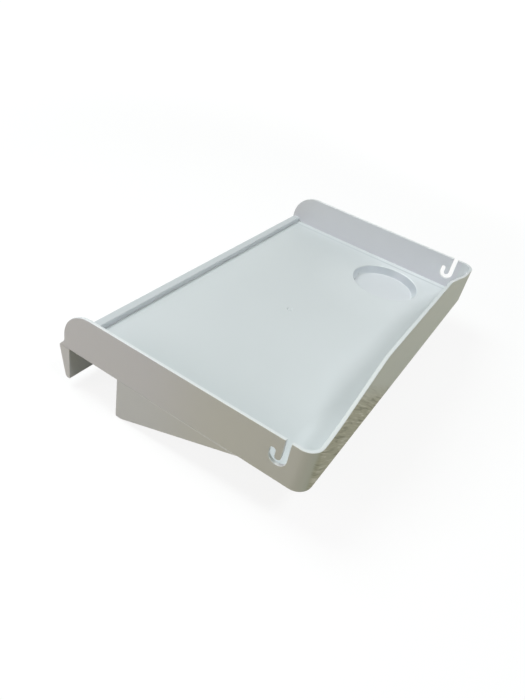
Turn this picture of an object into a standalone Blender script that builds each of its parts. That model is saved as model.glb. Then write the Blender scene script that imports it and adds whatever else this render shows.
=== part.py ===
"""A moulded tray with a cup recess that hangs on the top rail of a bed or cot.

Units are metres. X runs across the tray, -Y points to the free front edge, +Y to the hook and
+Z up. The origin is the centre of the rail seat, where the tray rests on the rail.
"""

import math

import bmesh
import bpy
from mathutils import Matrix, Vector

# Overall size
TRAY_WIDTH = 0.400
REACH = 0.1835
WALL = 0.003
CORNER_RADIUS = 0.013
SEAM_GAP = 0.0003

# Rail channel
RAIL_GAP = 0.056
SEAT_DEPTH = 0.006

# Floor and its skirt
FLOOR_THICKNESS = 0.003
SKIRT_DEPTH = 0.0055

# Side walls, measured up from the floor
SIDE_HEIGHT = 0.0371
BACK_RADIUS = 0.030
BACK_OVERHANG = 0.0059
SHOULDER_RISE = 0.007
SHOULDER_RADIUS = 0.003
RIM_RADIUS = 0.0014
CORNER_SEAM = 0.001

# Raised front guard
GUARD_HEIGHT = 0.0665
LEFT_FOOT_INSET = 0.026
LEFT_RAMP_RUN = 0.082
RIGHT_FOOT_INSET = 0.032
RIGHT_RAMP_RUN = 0.0925
GUARD_TOP_RADIUS = 0.040
GUARD_FOOT_RADIUS = 0.100

# Cord slots, each a J cut through a side wall
SLOT_WIDTH = 0.005
SLOT_FROM_FRONT = 0.0227
SLOT_BEND_RADIUS = 0.0052
SLOT_BEND_HEIGHT = 0.0175
SLOT_TIP_RISE = 0.0045

# Cup recess
CUP_FROM_SIDE = 0.0577
CUP_FROM_FRONT = 0.0812
CUP_RADIUS = 0.0392
CUP_BASE_RADIUS = 0.0352
CUP_DEPTH = 0.0093
CUP_WALL = 0.0025
CUP_MOUTH_RADIUS = 0.001
CUP_BASE_FILLET = 0.0015

# Rear ridge
RIDGE_HEIGHT = 0.0052
RIDGE_FRONT_INSET = 0.0038
RIDGE_FRONT_RADIUS = 0.001
RIDGE_BACK_RADIUS = 0.0025

# Hook lip
LIP_DEPTH = 0.0337
LIP_TOP_THICKNESS = 0.0118
LIP_TIP_THICKNESS = 0.005
LIP_INNER_TIP_RADIUS = 0.001
LIP_OUTER_TIP_RADIUS = 0.0032
LIP_SHOULDER_RADIUS = 0.0012
LIP_SHOULDER_DROP = 0.002

# Gussets, bearing plate and floor ribs
GUSSET_DEPTH = 0.0415
GUSSET_RUN = 0.1245
GUSSET_FLAT = 0.0065
GUSSET_HEEL_RADIUS = 0.0015
GUSSET_KNEE_RADIUS = 0.008
BEARING_THICKNESS = 0.003
BEARING_RELIEF = 0.001
RIB_THICKNESS = 0.0025
RIB_PLACE_SHARE = 1 / 3
EDGE_ROUND = 0.0004

# How finely arcs are drawn, and how far a cutter runs past what it cuts
CHORD_ERROR = 0.00005
ROUND_ROOM_SHARE = 0.98
TURN_STEPS = 56
OVERRUN = 0.004
WELD_DISTANCE = 0.00001
RIM_WELD_DISTANCE = 0.0003
SHARP_ANGLE = math.radians(30)
FLAT_ANGLE = math.radians(1)

# Places worked out from the sizes above
HALF_WIDTH = TRAY_WIDTH / 2
INNER_HALF = HALF_WIDTH - WALL
FITTED_HALF = INNER_HALF - SEAM_GAP
BEARING_Y = -RAIL_GAP / 2
LIP_Y = RAIL_GAP / 2
FRONT_Y = BEARING_Y - REACH
BACK_Y = LIP_Y + BACK_OVERHANG
HOOK_BACK_Y = LIP_Y + LIP_TOP_THICKNESS
RIDGE_Y = LIP_Y - RIDGE_FRONT_INSET
FLOOR_TOP = SEAT_DEPTH
FLOOR_UNDERSIDE = FLOOR_TOP - FLOOR_THICKNESS
UNDER_FLOOR = FLOOR_UNDERSIDE - SEAM_GAP
SKIRT_Z = FLOOR_TOP - SKIRT_DEPTH
BELOW_SKIRT = SKIRT_Z - SEAM_GAP
SIDE_TOP = FLOOR_TOP + SIDE_HEIGHT
GUARD_TOP = FLOOR_TOP + GUARD_HEIGHT
SHOULDER_Z = SKIRT_Z + SHOULDER_RISE
CORNER_Y = FRONT_Y + CORNER_RADIUS + CORNER_SEAM
CUP_X = HALF_WIDTH - CUP_FROM_SIDE
CUP_Y = FRONT_Y + CUP_FROM_FRONT
CUP_OUTER = CUP_RADIUS + CUP_WALL

# Turns a flat outline in X and Y into one across the tray: outline X to world Y, outline Y to
# world Z, and the outline's thickness along world X
SIDEWAYS = Matrix(((0, 0, 1), (1, 0, 0), (0, 1, 0))).to_4x4()
# Outline X stays X and outline Y becomes world Z, with the thickness along Y
UPRIGHT = Matrix(((1, 0, 0), (0, 0, -1), (0, 1, 0))).to_4x4()


def clear_scene():
    """Remove every object that the startup file holds."""
    for thing in list(bpy.data.objects):
        bpy.data.objects.remove(thing, do_unlink=True)


def collection(name):
    """A new collection in the scene."""
    made = bpy.data.collections.new(name)
    bpy.context.scene.collection.children.link(made)
    return made


def plastic(name, red, green, blue, roughness):
    """One piece's moulded plastic, as a linear colour and a roughness."""
    made = bpy.data.materials.new(name)
    made.use_nodes = True
    shader = made.node_tree.nodes["Principled BSDF"]
    shader.inputs["Base Color"].default_value = (red, green, blue, 1)
    shader.inputs["Roughness"].default_value = roughness
    shader.inputs["Metallic"].default_value = 0
    return made


def arc(centre, radius, start, end):
    """Points along an arc from one angle to another, close enough together to look round."""
    step = 2 * math.acos(1 - CHORD_ERROR / max(radius, 2 * CHORD_ERROR))
    count = max(2, math.ceil(abs(end - start) / step))
    angles = [start + (end - start) * i / count for i in range(count + 1)]
    return [(centre[0] + radius * math.cos(a), centre[1] + radius * math.sin(a)) for a in angles]


def rounded(corners):
    """The closed outline through corners (across, up, radius), each corner rounded.

    Where the rounds at a side's two ends would meet, both are drawn in to share the side.
    """
    places = [Vector(corner[:2]) for corner in corners]
    following = places[1:] + places[:1]
    sides = [after - place for place, after in zip(places, following)]
    turns = [side.angle(-sides[i - 1]) for i, side in enumerate(sides)]
    reaches = [corner[2] / math.tan(turn / 2) for corner, turn in zip(corners, turns)]
    wanted = [reach + after for reach, after in zip(reaches, reaches[1:] + reaches[:1])]
    rooms = [side.length * ROUND_ROOM_SHARE for side in sides]
    fits = [min(1, room / max(want, WELD_DISTANCE)) for room, want in zip(rooms, wanted)]
    outline = []
    for i, place in enumerate(places):
        if corners[i][2] == 0:
            outline.append(tuple(place))
            continue
        reach = reaches[i] * min(fits[i], fits[i - 1])
        before, after = -sides[i - 1].normalized(), sides[i].normalized()
        radius = reach * math.tan(turns[i] / 2)
        centre = place + (before + after).normalized() * radius / math.sin(turns[i] / 2)
        first = place + before * reach - centre
        last = place + after * reach - centre
        start = math.atan2(first.y, first.x)
        swing = math.atan2(first.x * last.y - first.y * last.x, first.dot(last))
        outline += arc(centre, radius, start, start + swing)
    return outline


def plate(home, name, outlines, thickness, turn, middle):
    """A flat piece of this thickness from an outline and any holes, in the collection home."""
    curve = bpy.data.curves.new(name, "CURVE")
    curve.dimensions = "2D"
    curve.fill_mode = "BOTH"
    curve.extrude = thickness / 2
    for outline in outlines:
        spline = curve.splines.new("POLY")
        spline.points.add(len(outline) - 1)
        for point, (across, up) in zip(spline.points, outline):
            point.co = (across, up, 0, 1)
        spline.use_cyclic_u = True
    drawn = bpy.data.objects.new(name + "_outline", curve)
    drawn.matrix_world = Matrix.Translation(middle) @ turn
    bpy.context.scene.collection.objects.link(drawn)
    bpy.context.view_layer.update()
    graph = bpy.context.evaluated_depsgraph_get()
    mesh = bpy.data.meshes.new_from_object(drawn.evaluated_get(graph))
    mesh.transform(drawn.matrix_world)
    bpy.data.objects.remove(drawn, do_unlink=True)
    shape = bmesh.new()
    shape.from_mesh(mesh)
    bmesh.ops.remove_doubles(shape, verts=shape.verts, dist=WELD_DISTANCE)
    bmesh.ops.recalc_face_normals(shape, faces=shape.faces)
    shape.to_mesh(mesh)
    shape.free()
    mesh.name = name
    piece = bpy.data.objects.new(name, mesh)
    home.objects.link(piece)
    return piece


def cut_away(piece, cutter):
    """Cut one closed shape out of a piece and keep the result as the piece's own mesh."""
    cutter.hide_render = True
    cutter.display_type = "WIRE"
    boolean = piece.modifiers.new(cutter.name, "BOOLEAN")
    boolean.operation = "DIFFERENCE"
    boolean.solver = "EXACT"
    boolean.object = cutter
    bpy.context.view_layer.update()
    graph = bpy.context.evaluated_depsgraph_get()
    result = bpy.data.meshes.new_from_object(piece.evaluated_get(graph))
    piece.modifiers.clear()
    piece.data = result


def round_rim(piece, radius, is_rim):
    """Round the sharp edges of a piece that the rule is_rim(edge) picks."""
    shape = bmesh.new()
    shape.from_mesh(piece.data)
    bmesh.ops.remove_doubles(shape, verts=shape.verts, dist=RIM_WELD_DISTANCE)
    bmesh.ops.dissolve_limit(
        shape, angle_limit=FLAT_ANGLE, verts=shape.verts, edges=shape.edges
    )
    sharp = [e for e in shape.edges if len(e.link_faces) == 2]
    sharp = [e for e in sharp if e.calc_face_angle() > SHARP_ANGLE and is_rim(e)]
    bmesh.ops.bevel(
        shape,
        geom=sharp,
        offset=radius,
        offset_type="OFFSET",
        segments=3,
        profile=0.5,
        affect="EDGES",
        clamp_overlap=False,
        material=-1,
    )
    bmesh.ops.remove_doubles(shape, verts=shape.verts, dist=WELD_DISTANCE)
    bmesh.ops.recalc_face_normals(shape, faces=shape.faces)
    shape.to_mesh(piece.data)
    shape.free()


def break_edges(piece):
    """A small radius along every sharp edge, as any moulding has."""
    bevel = piece.modifiers.new("broken_edges", "BEVEL")
    bevel.width = EDGE_ROUND
    bevel.segments = 2
    bevel.limit_method = "ANGLE"
    bevel.angle_limit = SHARP_ANGLE


def finish(piece, material):
    """Give a piece its material and smooth shading between its sharp edges."""
    piece.data.materials.clear()
    piece.data.materials.append(material)
    piece.data.shade_smooth()
    piece.data.set_sharp_from_angle(angle=SHARP_ANGLE)


def make_floor():
    """The flat panel that things stand on, open where the cup recess hangs through."""
    inner_radius = CORNER_RADIUS - WALL - SEAM_GAP
    front = FRONT_Y + WALL + SEAM_GAP
    back = RIDGE_Y - SEAM_GAP
    edge = rounded(
        [
            (-FITTED_HALF, back, 0),
            (-FITTED_HALF, front, inner_radius),
            (FITTED_HALF, front, inner_radius),
            (FITTED_HALF, back, 0),
        ]
    )
    hole = arc((CUP_X, CUP_Y), CUP_OUTER + SEAM_GAP, 0, 2 * math.pi)[:-1]
    middle = (0, 0, (FLOOR_TOP + FLOOR_UNDERSIDE) / 2)
    piece = plate(tray, "tray_floor", [edge, hole], FLOOR_THICKNESS, Matrix(), middle)
    finish(piece, plastic("floor_plastic", 0.66, 0.69, 0.70, 0.35))


def make_cup_well():
    """The round recess for a cup or can: a shallow dish, turned about its own axis."""
    inner = rounded(
        [
            (0, FLOOR_TOP - CUP_DEPTH, 0),
            (CUP_BASE_RADIUS, FLOOR_TOP - CUP_DEPTH, CUP_BASE_FILLET),
            (CUP_RADIUS, FLOOR_TOP, CUP_MOUTH_RADIUS),
            (CUP_OUTER, FLOOR_TOP, 0),
            (CUP_BASE_RADIUS + CUP_WALL, FLOOR_TOP - CUP_DEPTH - CUP_WALL, CUP_BASE_FILLET),
            (0, FLOOR_TOP - CUP_DEPTH - CUP_WALL, 0),
        ]
    )
    mesh = bpy.data.meshes.new("cup_well")
    shape = bmesh.new()
    points = [shape.verts.new((radius, 0, height)) for radius, height in inner]
    for first, second in zip(points, points[1:]):
        shape.edges.new((first, second))
    shape.to_mesh(mesh)
    shape.free()
    piece = bpy.data.objects.new("cup_well", mesh)
    tray.objects.link(piece)
    piece.location = (CUP_X, CUP_Y, 0)
    turn = piece.modifiers.new("turned", "SCREW")
    turn.steps = TURN_STEPS
    turn.render_steps = TURN_STEPS
    turn.use_merge_vertices = True
    turn.merge_threshold = WELD_DISTANCE
    turn.use_smooth_shade = True
    finish(piece, plastic("recess_plastic", 0.69, 0.69, 0.72, 0.35))


def make_front_guard():
    """The front wall with both round corners, raised in the middle by two soft ramps."""
    inner_radius = CORNER_RADIUS - WALL
    band = rounded(
        [
            (-HALF_WIDTH, CORNER_Y, 0),
            (-HALF_WIDTH, FRONT_Y, CORNER_RADIUS),
            (HALF_WIDTH, FRONT_Y, CORNER_RADIUS),
            (HALF_WIDTH, CORNER_Y, 0),
            (INNER_HALF, CORNER_Y, 0),
            (INNER_HALF, FRONT_Y + WALL, inner_radius),
            (-INNER_HALF, FRONT_Y + WALL, inner_radius),
            (-INNER_HALF, CORNER_Y, 0),
        ]
    )
    tall = GUARD_TOP + OVERRUN - SKIRT_Z
    piece = plate(tray, "front_guard", [band], tall, Matrix(), (0, 0, SKIRT_Z + tall / 2))
    left_foot = LEFT_FOOT_INSET - HALF_WIDTH
    left_head = left_foot + LEFT_RAMP_RUN
    right_foot = HALF_WIDTH - RIGHT_FOOT_INSET
    right_head = right_foot - RIGHT_RAMP_RUN
    past_side = HALF_WIDTH + OVERRUN
    above = GUARD_TOP + 2 * OVERRUN
    sky = rounded(
        [
            (-past_side, SIDE_TOP, 0),
            (left_foot, SIDE_TOP, GUARD_FOOT_RADIUS),
            (left_head, GUARD_TOP, GUARD_TOP_RADIUS),
            (right_head, GUARD_TOP, GUARD_TOP_RADIUS),
            (right_foot, SIDE_TOP, GUARD_FOOT_RADIUS),
            (past_side, SIDE_TOP, 0),
            (past_side, above, 0),
            (-past_side, above, 0),
        ]
    )
    depth = CORNER_Y - FRONT_Y + 2 * OVERRUN
    middle = (0, (CORNER_Y + FRONT_Y) / 2, 0)
    cutter = plate(cutters, "guard_top_cutter", [sky], depth, UPRIGHT, middle)
    cut_away(piece, cutter)

    def is_rim(edge):
        ends = [corner.co for corner in edge.verts]
        at_seam = all(abs(end.y - CORNER_Y) < SEAM_GAP for end in ends)
        return min(end.z for end in ends) > FLOOR_TOP and not at_seam

    round_rim(piece, RIM_RADIUS, is_rim)
    finish(piece, plastic("guard_plastic", 0.62, 0.63, 0.61, 0.3))


def slot_outline():
    """The J of a cord slot: down from the rim, round its bend and up to a blind tip."""
    arm = FRONT_Y + SLOT_FROM_FRONT
    tip = arm + 2 * SLOT_BEND_RADIUS
    bend_z = FLOOR_TOP + SLOT_BEND_HEIGHT
    tip_z = bend_z + SLOT_TIP_RISE
    half = SLOT_WIDTH / 2
    centre = (arm + SLOT_BEND_RADIUS, bend_z)
    outer = arc(centre, SLOT_BEND_RADIUS + half, math.pi, 2 * math.pi)
    cap = arc((tip, tip_z), half, 0, math.pi)
    inner = arc(centre, SLOT_BEND_RADIUS - half, 2 * math.pi, math.pi)
    above = SIDE_TOP + OVERRUN
    return [(arm - half, above)] + outer + cap + inner + [(arm + half, above)]


def make_side_wall(name, side):
    """One side wall: a straight rim, a large round at the back and the hook's shoulder."""
    outline = rounded(
        [
            (CORNER_Y + SEAM_GAP, SKIRT_Z, 0),
            (HOOK_BACK_Y, SKIRT_Z, 0),
            (BACK_Y, SHOULDER_Z, SHOULDER_RADIUS),
            (BACK_Y, SIDE_TOP, BACK_RADIUS),
            (CORNER_Y + SEAM_GAP, SIDE_TOP, 0),
        ]
    )
    middle = (side * (HALF_WIDTH - WALL / 2), 0, 0)
    piece = plate(tray, name, [outline], WALL, SIDEWAYS, middle)

    def is_rim(edge):
        ends = [corner.co for corner in edge.verts]
        at_seam = all(end.y < CORNER_Y + 2 * SEAM_GAP for end in ends)
        return min(end.z for end in ends) > SHOULDER_Z and not at_seam

    round_rim(piece, RIM_RADIUS, is_rim)
    through = WALL + 2 * OVERRUN
    cutter = plate(
        cutters, name + "_slot_cutter", [slot_outline()], through, SIDEWAYS, middle
    )
    cut_away(piece, cutter)
    finish(piece, plastic(name + "_plastic", 0.56, 0.57, 0.56, 0.3))


def make_rear_ridge():
    """The low strip across the back that keeps things off the hook and stiffens it."""
    outline = rounded(
        [
            (RIDGE_Y, SKIRT_Z, 0),
            (HOOK_BACK_Y, SKIRT_Z, 0),
            (BACK_Y, SHOULDER_Z, SHOULDER_RADIUS),
            (BACK_Y, FLOOR_TOP + RIDGE_HEIGHT, RIDGE_BACK_RADIUS),
            (RIDGE_Y, FLOOR_TOP + RIDGE_HEIGHT, RIDGE_FRONT_RADIUS),
        ]
    )
    piece = plate(tray, "rear_ridge", [outline], 2 * FITTED_HALF, SIDEWAYS, (0, 0, 0))
    finish(piece, plastic("ridge_plastic", 0.64, 0.68, 0.70, 0.3))


def make_rail_seat():
    """The pad under the floor that rests on top of the rail; its underside is the origin."""
    front = BEARING_Y + SEAM_GAP
    back = RIDGE_Y - SEAM_GAP
    outline = [
        (-FITTED_HALF, front),
        (FITTED_HALF, front),
        (FITTED_HALF, back),
        (-FITTED_HALF, back),
    ]
    piece = plate(tray, "rail_seat", [outline], UNDER_FLOOR, Matrix(), (0, 0, UNDER_FLOOR / 2))
    break_edges(piece)
    finish(piece, plastic("seat_plastic", 0.50, 0.51, 0.49, 0.45))


def make_hook_lip():
    """The tapered lip that drops behind the rail, as wide as the tray."""
    outline = rounded(
        [
            (LIP_Y, BELOW_SKIRT, 0),
            (LIP_Y, -LIP_DEPTH, LIP_INNER_TIP_RADIUS),
            (LIP_Y + LIP_TIP_THICKNESS, -LIP_DEPTH, LIP_OUTER_TIP_RADIUS),
            (HOOK_BACK_Y, -LIP_SHOULDER_DROP, LIP_SHOULDER_RADIUS),
            (HOOK_BACK_Y, BELOW_SKIRT, 0),
        ]
    )
    piece = plate(tray, "hook_lip", [outline], TRAY_WIDTH, SIDEWAYS, (0, 0, 0))
    break_edges(piece)
    finish(piece, plastic("lip_plastic", 0.50, 0.51, 0.49, 0.4))


def make_bearing_plate():
    """The upright plate that leans on the near side of the rail.

    Its face steps back where it passes the rail seat, so that a rail's sharp corner clears it.
    """
    low = -GUSSET_DEPTH + SEAM_GAP
    front = BEARING_Y - BEARING_THICKNESS
    back = BEARING_Y - BEARING_RELIEF
    outline = [
        (front, low),
        (BEARING_Y, low),
        (BEARING_Y, -BEARING_RELIEF),
        (back, 0),
        (back, UNDER_FLOOR),
        (front, UNDER_FLOOR),
    ]
    piece = plate(tray, "bearing_plate", [outline], 2 * FITTED_HALF, SIDEWAYS, (0, 0, 0))
    break_edges(piece)
    finish(piece, plastic("bearing_plastic", 0.50, 0.51, 0.49, 0.45))


def wedge(back, top, skirt, front):
    """A gusset's outline, deep at the rail and running out under the floor.

    It starts at the point front where the skirt depth still shows, so an outer gusset starts
    at its own tip and an inner rib at the front wall.
    """
    tip = BEARING_Y - GUSSET_RUN
    knee = BEARING_Y - GUSSET_FLAT
    outline = [
        (back, top, 0),
        (back, -GUSSET_DEPTH, GUSSET_HEEL_RADIUS),
        (knee, -GUSSET_DEPTH, GUSSET_KNEE_RADIUS),
        (tip, skirt, 0),
    ]
    if front < tip:
        outline += [(front, skirt, 0), (front, top, 0)]
    return rounded(outline)


def make_gusset(name, side):
    """An outer gusset: the bracket cheek below a side wall, flush with its outer face."""
    outline = wedge(BEARING_Y, BELOW_SKIRT, BELOW_SKIRT, BEARING_Y)
    middle = (side * (HALF_WIDTH - WALL / 2), 0, 0)
    piece = plate(tray, name, [outline], WALL, SIDEWAYS, middle)
    break_edges(piece)
    finish(piece, plastic(name + "_plastic", 0.52, 0.53, 0.50, 0.35))


def make_rib(name, side):
    """An inner rib under the floor, from the front wall to the bearing plate."""
    back = BEARING_Y - BEARING_THICKNESS - SEAM_GAP
    front = FRONT_Y + WALL + SEAM_GAP
    outline = wedge(back, UNDER_FLOOR, SKIRT_Z, front)
    middle = (side * HALF_WIDTH * RIB_PLACE_SHARE, 0, 0)
    piece = plate(tray, name, [outline], RIB_THICKNESS, SIDEWAYS, middle)
    break_edges(piece)
    finish(piece, plastic(name + "_plastic", 0.50, 0.51, 0.49, 0.45))


clear_scene()
tray = collection("tray_with_cup_holder")
cutters = collection("cutters")

make_floor()
make_cup_well()
make_front_guard()
make_side_wall("left_wall", -1)
make_side_wall("right_wall", 1)
make_rear_ridge()
make_rail_seat()
make_hook_lip()
make_bearing_plate()
make_gusset("left_gusset", -1)
make_gusset("right_gusset", 1)
make_rib("left_rib", -1)
make_rib("right_rib", 1)
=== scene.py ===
# %% [markdown]
# # A rail-hung tray with a cup recess
#
# The real thing is one injection moulding in light grey ABS. Its tray hooks over the top rail of a
# bed: a lip drops behind the rail, two cheeks and a plate lean on its near side, and a cup stands
# in a round recess. The CAD model already has every piece in its place, in metres. This lesson
# models the pieces that show again, with the soft rims and fillets of a moulding, and gives every
# surface its finish.

# %% Tools and the CAD frame
from math import cos, degrees, hypot, pi, radians, sin, tan
import bmesh
import bpy
from mathutils import Euler, Matrix, Vector


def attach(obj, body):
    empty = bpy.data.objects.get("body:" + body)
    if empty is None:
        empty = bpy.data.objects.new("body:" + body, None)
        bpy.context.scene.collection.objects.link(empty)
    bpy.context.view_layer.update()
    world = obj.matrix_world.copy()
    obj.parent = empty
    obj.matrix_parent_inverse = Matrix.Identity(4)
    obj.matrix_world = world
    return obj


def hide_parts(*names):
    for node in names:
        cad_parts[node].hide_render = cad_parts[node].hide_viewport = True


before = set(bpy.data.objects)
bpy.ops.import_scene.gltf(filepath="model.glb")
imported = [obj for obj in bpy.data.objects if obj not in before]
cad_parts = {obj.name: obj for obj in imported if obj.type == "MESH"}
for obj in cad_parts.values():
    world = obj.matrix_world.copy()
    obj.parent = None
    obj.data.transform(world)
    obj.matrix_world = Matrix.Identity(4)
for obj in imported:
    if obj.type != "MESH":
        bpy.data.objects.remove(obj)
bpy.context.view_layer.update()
print("CAD nodes:", sorted(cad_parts))

# %% [markdown]
# ## The camera
#
# The picture is a product view from the left end, above and a little in front. Straight edges and
# round corners of the tray gave the camera's place, turn and focal length, which is written here
# as a lens on a 36 mm high sensor. It comes first, so that each piece can be looked at
# as soon as it is made.

# %% Camera
PICTURE_HEIGHT = 700
FOCAL_PIXELS = 578.3
SENSOR_HEIGHT = 36
CAMERA_PLACE = (-0.474035, -0.281017, 0.332214)
CAMERA_TURN = (52.3675, -10.4471, -56.9662)  # degrees about X, Y and Z

camera_data = bpy.data.cameras.new("product_view")
camera_data.sensor_fit = "VERTICAL"
camera_data.sensor_height = SENSOR_HEIGHT
camera_data.lens = FOCAL_PIXELS / PICTURE_HEIGHT * SENSOR_HEIGHT
camera_data.clip_start = 0.01
camera = bpy.data.objects.new("product_view", camera_data)
camera.location = CAMERA_PLACE
camera.rotation_euler = Euler([radians(turn) for turn in CAMERA_TURN])
bpy.context.scene.collection.objects.link(camera)
bpy.context.scene.camera = camera
print("lens:", round(camera_data.lens, 2), "mm")

# %% [markdown]
# ## Sizes
#
# The new pieces stand where the CAD pieces stand, so they start from the same sizes. X runs along
# the rail, Y from the tray to the rail and Z up. The origin is the middle of the rail's channel.

# %% Sizes of the moulding
MM = 0.001
HALF_WIDTH = 200 * MM
WALL = 3 * MM
INNER_HALF = HALF_WIDTH - WALL
FRONT_Y = -211.5 * MM
CORNER_RADIUS = 13 * MM
SEAM_Y = -197.5 * MM
RAIL_NEAR_Y = -28 * MM
RAIL_FAR_Y = 28 * MM
RIDGE_Y = 24.2 * MM
BACK_Y = 33.9 * MM
HOOK_BACK_Y = 39.8 * MM
FLOOR_TOP = 6 * MM
FLOOR_UNDERSIDE = 3 * MM
SKIRT_Z = 0.5 * MM
SHOULDER_Z = 7.5 * MM
SIDE_TOP = 43.1 * MM
GUARD_TOP = 72.5 * MM
RIM_RADIUS = 0.5 * MM
EDGE_RADIUS = 0.4 * MM
BACK_RADIUS = 30 * MM
SHOULDER_ROUND = 3 * MM
CLOSE = 0.1 * MM  # places nearer than this count as touching
MERGE = 0.001 * MM
print("moulding:", round(2 * HALF_WIDTH / MM), "mm wide, walls", round(WALL / MM), "mm")

# %% [markdown]
# ## Colours and nodes
#
# A colour is easiest to read as the hex value that an image program shows. Shaders count in
# linear light, so one function turns the first into the second. Another adds a node with its
# settings and its links, so that each material reads from top to bottom. A third blends two
# colours by a share, which is how every mark on the plastic is laid over the tint below it.

# %% Colours
def from_hex(text):
    """The linear red, green, blue and alpha of an sRGB colour such as #d3d7d9."""
    channels = [int(text[i:i + 2], 16) / 255 for i in (1, 3, 5)]
    return [c / 12.92 if c <= 0.04045 else ((c + 0.055) / 1.055) ** 2.4 for c in channels] + [1]


print("#d3d7d9 in linear light:", [round(c, 3) for c in from_hex("#d3d7d9")])

# %% Nodes and blends
def add_node(material, kind, settings=None, sockets=None):
    """Add a node. Settings are its own properties; sockets get a value or another node's output."""
    made = material.node_tree.nodes.new(kind)
    for name, value in (settings or {}).items():
        setattr(made, name, value)
    for name, value in (sockets or {}).items():
        if isinstance(value, bpy.types.NodeSocket):
            material.node_tree.links.new(value, made.inputs[name])
        else:
            made.inputs[name].default_value = value
    return made


def mix_colours(material, share, first, second):
    """A colour between two others; share is 0 for the first and 1 for the second."""
    mixed = add_node(material, "ShaderNodeMix", {"data_type": "RGBA"}, {"Factor": share})
    for socket, colour in ((mixed.inputs[6], first), (mixed.inputs[7], second)):
        if isinstance(colour, bpy.types.NodeSocket):
            material.node_tree.links.new(colour, socket)
        else:
            socket.default_value = colour
    return mixed.outputs[2]


print("helpers:", add_node.__name__, "and", mix_colours.__name__)

# %% [markdown]
# ## Moulded ABS, semi-gloss
#
# The tray is moulded in light grey ABS in a steel mould with a fine satin polish. That gives
# the eye an even, cool pale grey with a soft sheen, a slight waviness like orange peel where the
# plastic shrank, and faint clouds from the melt's flow. Handling adds rubbed marks that show
# only in the sheen. Rims and fillets come from hand-polished edges of the mould and shine more,
# and their lighter tint is a painted highlight: a vertex attribute gives the share of both.
# ABS has an index of refraction of 1.54. A piece with tints of its own passes a function that
# changes the tint and says where the surface is matt; those tints are painted light and shade.

# %% Values of the ABS
ABS_IOR = 1.54
MATT_ROUGHNESS = 0.85
POLISHED_ROUGHNESS = 0.22
# the lighter tint of polished edges is a painted highlight
HIGHLIGHT_TINT = "#eef1f1"
CLOUD_SIZE = 90 * MM
CLOUD_STRETCH = 0.6  # less than 1 draws them longer across the tray
RUB_LENGTH = 12 * MM
RUB_LOW, RUB_HIGH = 0.3, 0.7  # of the noise, for the glossiest and the dullest places
SHEEN_DROP, SHEEN_RISE = 0.05, 0.07
PEEL_SIZE = 4 * MM  # real waves are 1 to 2 mm, drawn coarser so that the picture holds them
PEEL_HEIGHT = 0.02 * MM
print("clouds", round(CLOUD_SIZE / MM), "mm, orange peel", round(PEEL_SIZE / MM), "mm")

# %% Semi-gloss ABS
def mould_abs(name, colour, cloud, roughness, paint_light=None):
    """Light grey ABS. The last argument may add painted light and shade: it gets the material,
    the place and the tint so far, and gives back the new tint and where the surface is matt."""
    made = bpy.data.materials.new(name)
    made.use_nodes = True
    made.node_tree.nodes.clear()
    place = add_node(made, "ShaderNodeTexCoord").outputs["Object"]
    # clouds of the melt's flow
    along = add_node(made, "ShaderNodeMapping", sockets={
        "Vector": place, "Scale": (CLOUD_STRETCH, 1, 1)})
    flow = add_node(made, "ShaderNodeTexNoise", sockets={
        "Vector": along.outputs["Vector"], "Scale": 1 / CLOUD_SIZE, "Detail": 3})
    tint = mix_colours(made, flow.outputs["Fac"], from_hex(colour), from_hex(cloud))
    matt = 0
    if paint_light:
        tint, matt = paint_light(made, place, tint)
    # a vertex attribute gives the share of polish: it lightens the tint as a painted highlight and
    # lowers the roughness
    polish_and_highlight = add_node(made, "ShaderNodeAttribute", {"attribute_name": "polish_and_highlight"}).outputs["Fac"]
    tint = mix_colours(made, polish_and_highlight, tint, from_hex(HIGHLIGHT_TINT))
    # rubbed marks: only the sheen shows them, a little glossier or duller
    rub_marks_and_shade = add_node(made, "ShaderNodeTexNoise", sockets={
        "Vector": place, "Scale": 1 / RUB_LENGTH, "Detail": 5, "Roughness": 0.6})
    sheen = add_node(made, "ShaderNodeMapRange", sockets={
        "Value": rub_marks_and_shade.outputs["Fac"], "From Min": RUB_LOW, "From Max": RUB_HIGH,
        "To Min": roughness - SHEEN_DROP, "To Max": roughness + SHEEN_RISE})
    worn = add_node(made, "ShaderNodeMapRange", sockets={
        "Value": matt, "To Min": sheen.outputs["Result"], "To Max": MATT_ROUGHNESS})
    shine = add_node(made, "ShaderNodeMapRange", sockets={
        "Value": polish_and_highlight, "To Min": worn.outputs["Result"], "To Max": POLISHED_ROUGHNESS})
    # orange peel
    peel = add_node(made, "ShaderNodeTexNoise", sockets={
        "Vector": place, "Scale": 1 / PEEL_SIZE, "Detail": 1})
    bump = add_node(made, "ShaderNodeBump", sockets={
        "Height": peel.outputs["Fac"], "Distance": PEEL_HEIGHT})
    shader = add_node(made, "ShaderNodeBsdfPrincipled", sockets={
        "Base Color": tint, "Roughness": shine.outputs["Result"],
        "Normal": bump.outputs["Normal"], "IOR": ABS_IOR})
    add_node(made, "ShaderNodeOutputMaterial", sockets={"Surface": shader.outputs["BSDF"]})
    return made


underside_abs = mould_abs("moulded_abs_fine_satin", "#cdd0d0", "#c7cacb", 0.5)
print("the plain finish, for the underside:", underside_abs.name)

# %% [markdown]
# ## Masks for marks of use
#
# A tray in use isn't the same all over. Its marks could be painted on a picture, but a mask that is
# worked out from the place in metres, or from the way the surface faces, needs no picture and stays
# where it is when the object moves. Small helpers make and join such masks. Each mask has a range,
# which is the pair of values where it is 0 and where it is 1.

# %% Helpers for masks
def ramp(material, value, start, end):
    """0 at start and 1 at end of a value, with a soft S between; start may be the higher one."""
    return add_node(material, "ShaderNodeMapRange", {"interpolation_type": "SMOOTHSTEP"}, {
        "Value": value, "From Min": start, "From Max": end}).outputs["Result"]


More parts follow.
